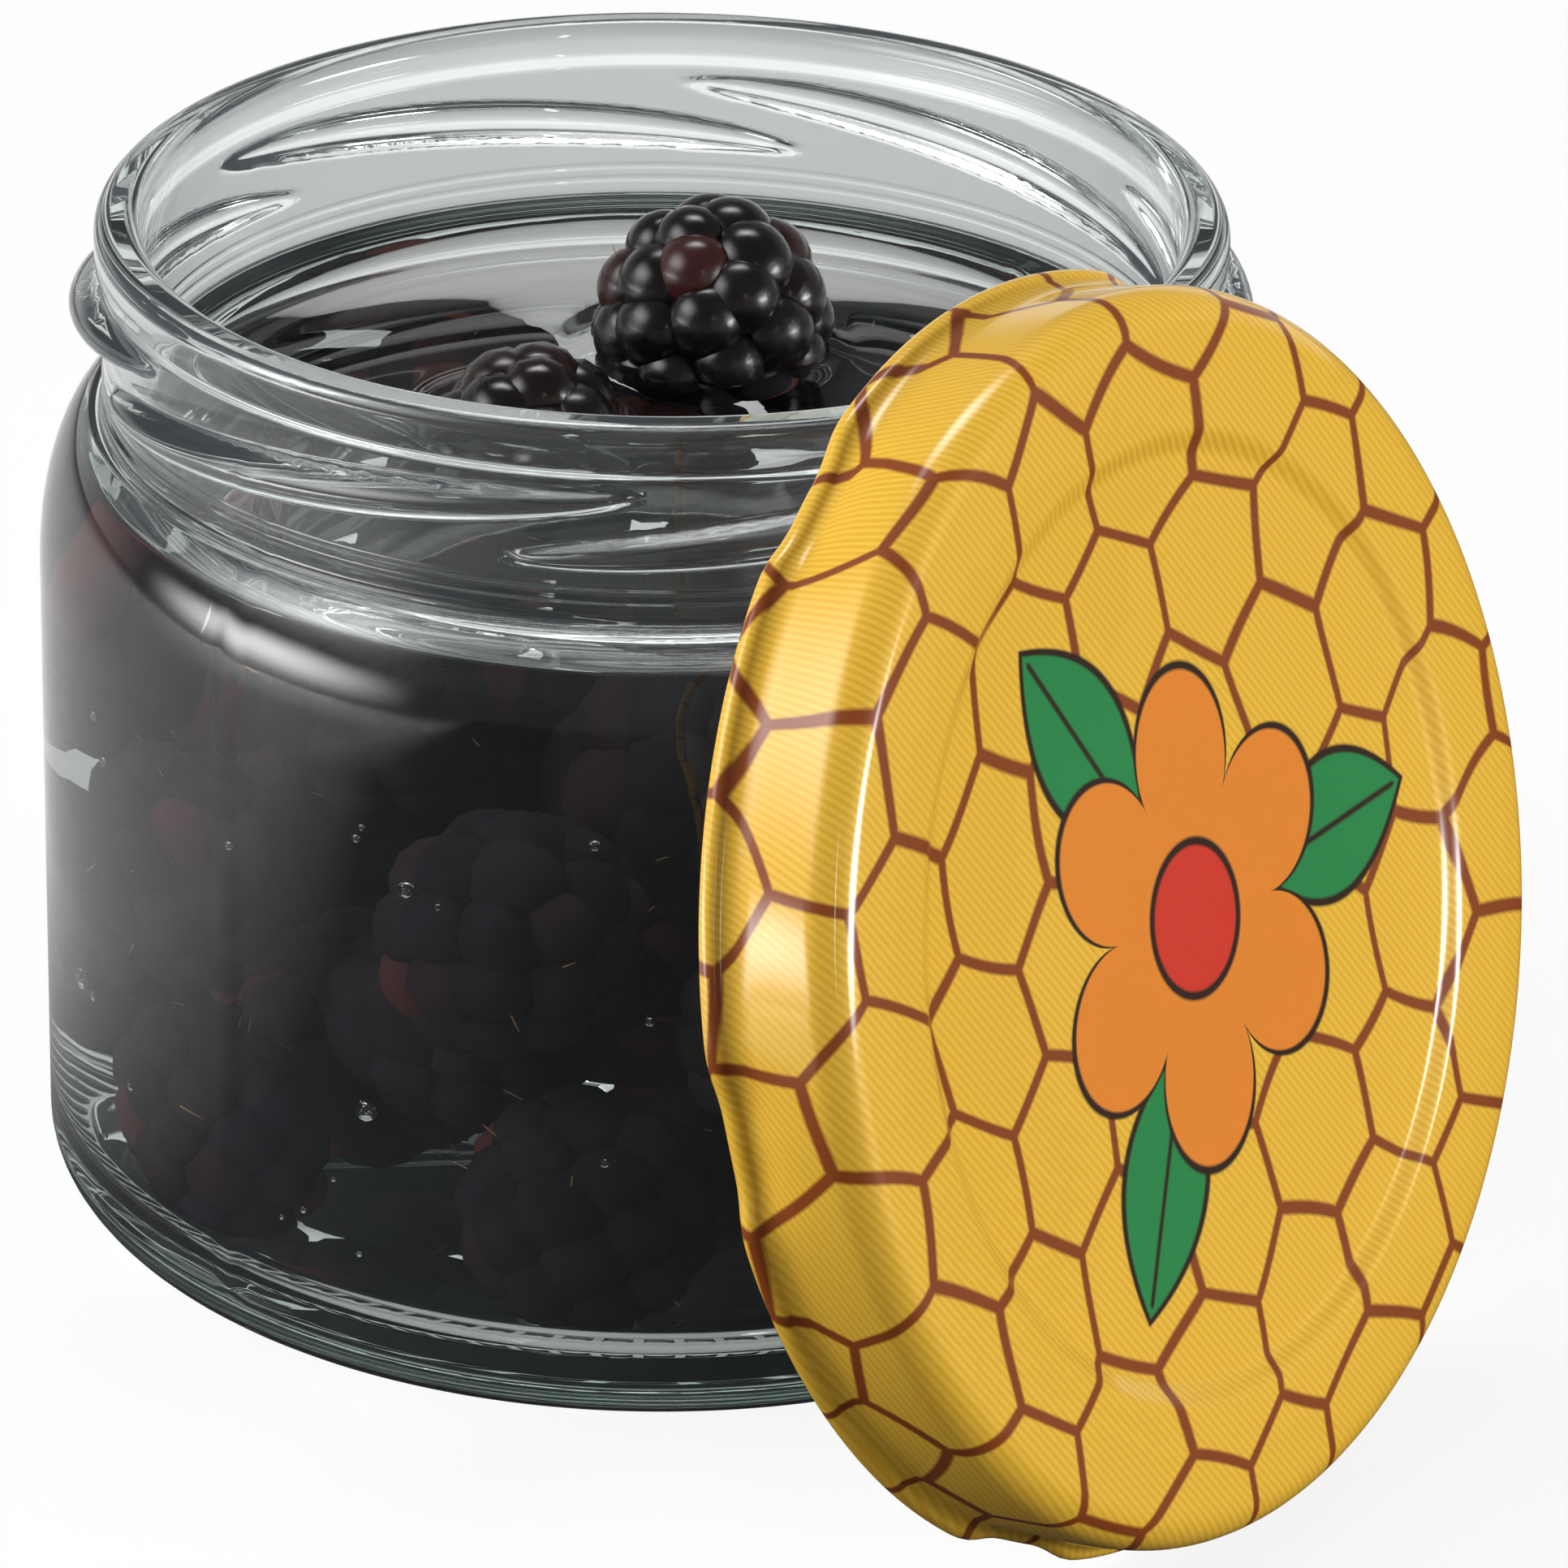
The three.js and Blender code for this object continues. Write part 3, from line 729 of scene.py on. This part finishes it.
cell = add_node(tree, "Mix", {"Factor": nearer, 4: first, 5: second}, data_type="VECTOR").outputs[1]
cell_sides = vector_calc(tree, "ABSOLUTE", cell)
slanted = vector_calc(tree, "DOT_PRODUCT", cell_sides, CELL_SLANT, out="Value")
upright = add_node(tree, "SeparateXYZ", {0: cell_sides}).outputs["X"]
to_middle = calc(tree, "MAXIMUM", slanted, upright)
to_edge = calc(tree, "MULTIPLY", calc(tree, "SUBTRACT", 0.5, to_middle), CELL)
screen_way = vector_calc(tree, "DOT_PRODUCT", flat, SCREEN_SLANT, out="Value")
screen_wave = calc(tree, "SINE", calc(tree, "MULTIPLY", screen_way, 2 * pi / SCREEN_PITCH))
golden = paint(tree, GOLD, PALE_GOLD, ranged(tree, screen_wave, (-1.0, 1.0), (0.0, 1.0)))
print_colour = paint(tree, golden, BROWN, mask(tree, to_edge, COMB_LINE))

# three leaves with a middle vein, and on them a flower of six petals with a round heart
from_middle = distance(tree, flat)
split = add_node(tree, "SeparateXYZ", {0: flat}).outputs
about_middle = calc(tree, "ARCTAN2", split["Y"], split["X"])
leaf_turn = calc(tree, "WRAP", about_middle, pi / LEAVES, -pi / LEAVES)
leaf_along = calc(tree, "MULTIPLY", from_middle, calc(tree, "COSINE", leaf_turn))
leaf_sine = calc(tree, "ABSOLUTE", calc(tree, "SINE", leaf_turn))
leaf_across = calc(tree, "MULTIPLY", from_middle, leaf_sine)
leaf_share = calc(tree, "MULTIPLY_ADD", leaf_along, 1 / LEAF_HALF_LENGTH, -LEAF_MIDDLE / LEAF_HALF_LENGTH)
leaf_taper = calc(tree, "POWER", calc(tree, "ABSOLUTE", leaf_share), 2.0)
leaf_edge = calc(tree, "MULTIPLY_ADD", leaf_taper, LEAF_HALF_WIDTH, leaf_across)
vein_end = mask(tree, leaf_edge, LEAF_HALF_WIDTH - VEIN_MARGIN)
vein = calc(tree, "MULTIPLY", mask(tree, leaf_across, VEIN_HALF_WIDTH), vein_end)
petal_sine = calc(tree, "SINE", calc(tree, "MULTIPLY_ADD", about_middle, PETAL_PAIRS, PETAL_TURN))
petal_wave = calc(tree, "POWER", calc(tree, "ABSOLUTE", petal_sine), PETAL_ROUNDNESS)
petal_edge = calc(tree, "MULTIPLY_ADD", petal_wave, -PETAL_DEPTH, from_middle)
print_colour = outlined(tree, print_colour, LEAF, leaf_edge, LEAF_HALF_WIDTH)
print_colour = paint(tree, print_colour, INK, vein)
print_colour = outlined(tree, print_colour, PETAL, petal_edge, FLOWER_WAIST)
print_colour = outlined(tree, print_colour, HEART, from_middle, HEART_RADIUS)
lacquer = add_node(tree, "BsdfPrincipled", {
    "Base Color": print_colour, "Metallic": 0.05, "Roughness": 0.45, "Specular IOR Level": 0.2,
    "Coat Weight": 0.7, "Coat Roughness": 0.06,
})
add_node(tree, "OutputMaterial", {"Surface": lacquer.outputs[0]})

ENAMEL_TONES = ((0.0, (0.74, 0.73, 0.68, 1)), (1.0, (0.84, 0.83, 0.79, 1)))
ENAMEL_FLOW_SCALE = 300.0
ENAMEL_PEEL = 0.05
ENAMEL_PEEL_DEPTH = 0.1
inner_enamel, tree = new_material("white_enamel")
flow = grain(tree, ENAMEL_FLOW_SCALE, detail=3.0)
enamelled = add_node(tree, "BsdfPrincipled", {
    "Base Color": tone_ramp(tree, flow, ENAMEL_TONES), "Roughness": 0.28,
    "Coat Weight": 0.5, "Coat Roughness": 0.1,
    "Normal": bumps(tree, flow, ENAMEL_PEEL, ENAMEL_PEEL_DEPTH),
})
add_node(tree, "OutputMaterial", {"Surface": enamelled.outputs[0]})

lid = make_piece("stamped_lid", sheet, print_finish, inner_enamel)
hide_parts("lid_shell")
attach(lid, "lid")

# Sealing ring
# Soft compound flowed into the lid's edge while it spun, so its face is smooth and a little hollow.
# It beds on the rim of the jar.
SEAL_INNER = 35.15
SEAL_OUTER = 39.35
SEAL_TOP = LID_HEIGHT - SHEET - 0.02
SEAL_THICKNESS = 1.25
SEAL_ROUND = 0.5
SEAL_HOLLOW = 0.18
SEAL_INNER_FLARE = 0.35
SEAL_OUTER_FLARE = ((0.25, 0.12), (-0.6, 0))  # out from the ring, down from its top
COMPOUND_TONES = ((0.0, (0.60, 0.57, 0.50, 1)), (1.0, (0.74, 0.72, 0.66, 1)))
COMPOUND_SPECK_SCALE = 900.0
COMPOUND_GRAIN = 0.15
COMPOUND_GRAIN_DEPTH = 0.1
seal_low = SEAL_TOP - SEAL_THICKNESS
seal_round_up = seal_low + SEAL_ROUND
seal_outline = [
    (SEAL_INNER - SEAL_INNER_FLARE, SEAL_TOP),
    *arc((SEAL_INNER + SEAL_ROUND, seal_round_up), (SEAL_ROUND, SEAL_ROUND), 180, 270, SMALL_ROUND_STEPS),
    ((SEAL_INNER + SEAL_OUTER) / 2, seal_low + SEAL_HOLLOW),
    *arc((SEAL_OUTER - SEAL_ROUND, seal_round_up), (SEAL_ROUND, SEAL_ROUND), 270, 360, SMALL_ROUND_STEPS),
    *[(SEAL_OUTER + out, SEAL_TOP - down) for out, down in SEAL_OUTER_FLARE],
]
compound = bmesh.new()
spin_outline(compound, seal_outline, LID_STEPS, closed=True)
close_seams(compound)
bmesh.ops.transform(compound, matrix=lid_place, verts=compound.verts)
soft_compound, tree = new_material("sealing_compound")
specks = grain(tree, COMPOUND_SPECK_SCALE, detail=5.0)
soft = add_node(tree, "BsdfPrincipled", {
    "Base Color": tone_ramp(tree, specks, COMPOUND_TONES), "Roughness": 0.55,
    "Normal": bumps(tree, specks, COMPOUND_GRAIN, COMPOUND_GRAIN_DEPTH),
})
add_node(tree, "OutputMaterial", {"Surface": soft.outputs[0]})
seal = make_piece("sealing_compound_ring", compound, soft_compound)
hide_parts("sealing_ring")
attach(seal, "lid")

# Floor
# A wide white table that takes the shadows of jar and lid.
# Rays through clear glass see it bright, and brightest under and just behind the jar: a painted pool of
# light seen only through the glass. The jar's left side mirrors a pale card on it that only mirrored rays
# see: a painted reflection.
FLOOR_HALF = 3.0
TABLE_GREY = 0.14
TABLE_IN_VIEW = 0.86
TABLE_IN_GLOSS = 0.02
FAR_TABLE = ((0.1, 0.5), (0.32, 0.9))  # from and to a distance behind the jar, and the brightness there
# painted pool of light: to rays through glass the table glows more under and just behind the jar
TABLE_BEHIND_JAR = ((0.045, 0.075), (0.6, 0.0))
TABLE_UNDER_JAR = ((-0.01, 0.035), (0.3, 1.0))
# painted reflection: a pale card at the left of the table that only mirrored rays see
REFLECTION_CARD = ((-0.042, -0.09), (0.0, 0.85))  # from and to a distance to the left, and the tone there
REFLECTION_CARD_SLANT = -0.6
board = bmesh.new()
bmesh.ops.create_grid(board, x_segments=1, y_segments=1, size=FLOOR_HALF)
table_white, tree = new_material("table_white")
ray = add_node(tree, "LightPath").outputs
across = add_node(tree, "SeparateXYZ", {0: object_place(tree)}).outputs
# painted pool of light near the jar, seen only through the glass
behind_jar = ranged(tree, across["Y"], *TABLE_BEHIND_JAR)
under_jar = ranged(tree, across["Y"], *TABLE_UNDER_JAR)
light_pool_near_jar = calc(tree, "MULTIPLY", behind_jar, under_jar)
sweep = calc(tree, "MAXIMUM", ranged(tree, across["Y"], *FAR_TABLE), light_pool_near_jar)
in_view = calc(tree, "MULTIPLY", ray["Is Camera Ray"], TABLE_IN_VIEW)
in_glass = calc(tree, "MULTIPLY", ray["Is Transmission Ray"], sweep)
in_gloss = calc(tree, "MULTIPLY", ray["Is Glossy Ray"], TABLE_IN_GLOSS)
brightness = calc(tree, "MAXIMUM", in_view, calc(tree, "MAXIMUM", in_glass, in_gloss))
not_through = calc(tree, "SUBTRACT", 1.0, ray["Is Transmission Ray"])
mirrored = calc(tree, "MULTIPLY", ray["Is Glossy Ray"], not_through)
# painted reflection: the pale card shows only to mirrored rays, which give the sheen on the jar's left side
leftward = calc(tree, "MULTIPLY_ADD", across["Y"], REFLECTION_CARD_SLANT, across["X"])
reflection_card = ranged(tree, leftward, *REFLECTION_CARD)
grey = add_node(tree, "Mix", {"Factor": mirrored, 2: TABLE_GREY, 3: reflection_card}).outputs[0]
matt = add_node(tree, "BsdfDiffuse", {"Color": grey})
lit = add_node(tree, "Emission", {"Strength": brightness})
both = add_node(tree, "AddShader", {0: matt.outputs[0], 1: lit.outputs[0]})
add_node(tree, "OutputMaterial", {"Surface": both.outputs[0]})
table = make_piece("table", board, table_white)

# Studio light
# A large soft box high at the left with a long one under it, a low box at the right that faces the lid,
# a narrow strip in front, and a wide panel above and behind. The room is grey, and pale behind the table.
AIM = Vector((0.01, -0.01, 0.035))
BOX_PEAK = 4.0
ROOM_GREY = 0.13
ROOM_BACK = (0.3, 0.8)  # how far a way points to the back, where the room begins and ends to turn pale
ROOM_LOW = (0.10, 0.26)  # how far it points up
ROOM_HIGH = (0.5, 0.6)
ROOM_BACK_GLOW = 0.8
ROOM_HIGH_GLOW = 0.7


def soft_box(name, place, width, height, watts):
    """An area lamp that is brightest in the middle, as a box with one tube behind its cloth is."""
    light = bpy.data.lights.new(name, "AREA")
    light.shape = "RECTANGLE"
    light.size, light.size_y, light.energy = width, height, watts
    light.use_nodes = True
    tree = light.node_tree
    tree.nodes.clear()
    across = add_node(tree, "SeparateXYZ", {0: add_node(tree, "NewGeometry").outputs["Parametric"]}).outputs
    glow = BOX_PEAK
    for side in ("X", "Y"):
        fade = calc(tree, "SINE", calc(tree, "MULTIPLY", across[side], pi))
        glow = calc(tree, "MULTIPLY", glow, calc(tree, "POWER", fade, 2.0))
    cloth = add_node(tree, "Emission", {"Strength": glow})
    add_node(tree, "OutputLight", {"Surface": cloth.outputs[0]})
    lamp = bpy.data.objects.new(name, light)
    lamp.location = place
    lamp.rotation_euler = (AIM - Vector(place)).to_track_quat("-Z", "Y").to_euler()
    bpy.context.collection.objects.link(lamp)


soft_box("left_box", (-0.62, -0.16, 0.54), width=1.05, height=0.76, watts=4.2)
soft_box("low_left_box", (-0.6, -0.18, 0.09), width=0.8, height=0.2, watts=1.8)
soft_box("right_box", (0.95, -0.32, 0.17), width=0.7, height=0.3, watts=7.5)
soft_box("front_strip", (0.36, -0.86, 0.42), width=0.06, height=0.5, watts=0.35)
soft_box("top_panel", (0.0, 0.35, 0.9), width=0.8, height=0.4, watts=3)

room = bpy.data.worlds.new("room")
bpy.context.scene.world = room
room.use_nodes = True
tree = room.node_tree
tree.nodes.clear()
ray = add_node(tree, "LightPath").outputs
facing = add_node(tree, "SeparateXYZ", {0: add_node(tree, "TexCoord").outputs["Generated"]}).outputs
to_back = ranged(tree, facing["Y"], ROOM_BACK, (0.0, 1.0))
low_down = ranged(tree, facing["Z"], ROOM_LOW, (1.0, 0.0))
low_at_back = calc(tree, "MULTIPLY", to_back, low_down)
round_about = calc(tree, "MULTIPLY_ADD", low_at_back, ROOM_BACK_GLOW, ROOM_GREY)
high_up = ranged(tree, facing["Z"], ROOM_HIGH, (0.0, 1.0))
high_through_glass = calc(tree, "MULTIPLY", high_up, ray["Is Transmission Ray"])
room_shade = calc(tree, "MULTIPLY_ADD", high_through_glass, ROOM_HIGH_GLOW, round_about)
level = add_node(tree, "Mix", {"Factor": ray["Is Camera Ray"], 2: room_shade, 3: 1.0}).outputs[0]
sky = add_node(tree, "Background", {"Color": (1, 1, 1, 1), "Strength": level})
add_node(tree, "OutputWorld", {"Surface": sky.outputs[0]})

# Camera
# A long lens in front of the jar, looking down into its mouth.
# It is turned and rolled a little, so that jar and lid stand in the picture together.
CAMERA_PLACE = (0, -0.64644, 0.33178)
LENS = 233
SENSOR = 36
PITCH = radians(24.98)
TURN = radians(-0.784)
ROLL = radians(0.76)
camera = bpy.data.objects.new("camera", bpy.data.cameras.new("camera"))
camera.data.lens = LENS
camera.data.sensor_width = SENSOR
rolled = Matrix.Rotation(ROLL, 4, "Z")
pitched = Matrix.Rotation(pi / 2 - PITCH, 4, "X")
turned = Matrix.Rotation(TURN, 4, "Z") @ pitched @ rolled
camera.matrix_world = Matrix.Translation(CAMERA_PLACE) @ turned
bpy.context.collection.objects.link(camera)
bpy.context.scene.camera = camera
bpy.context.scene.view_settings.view_transform = "Standard"
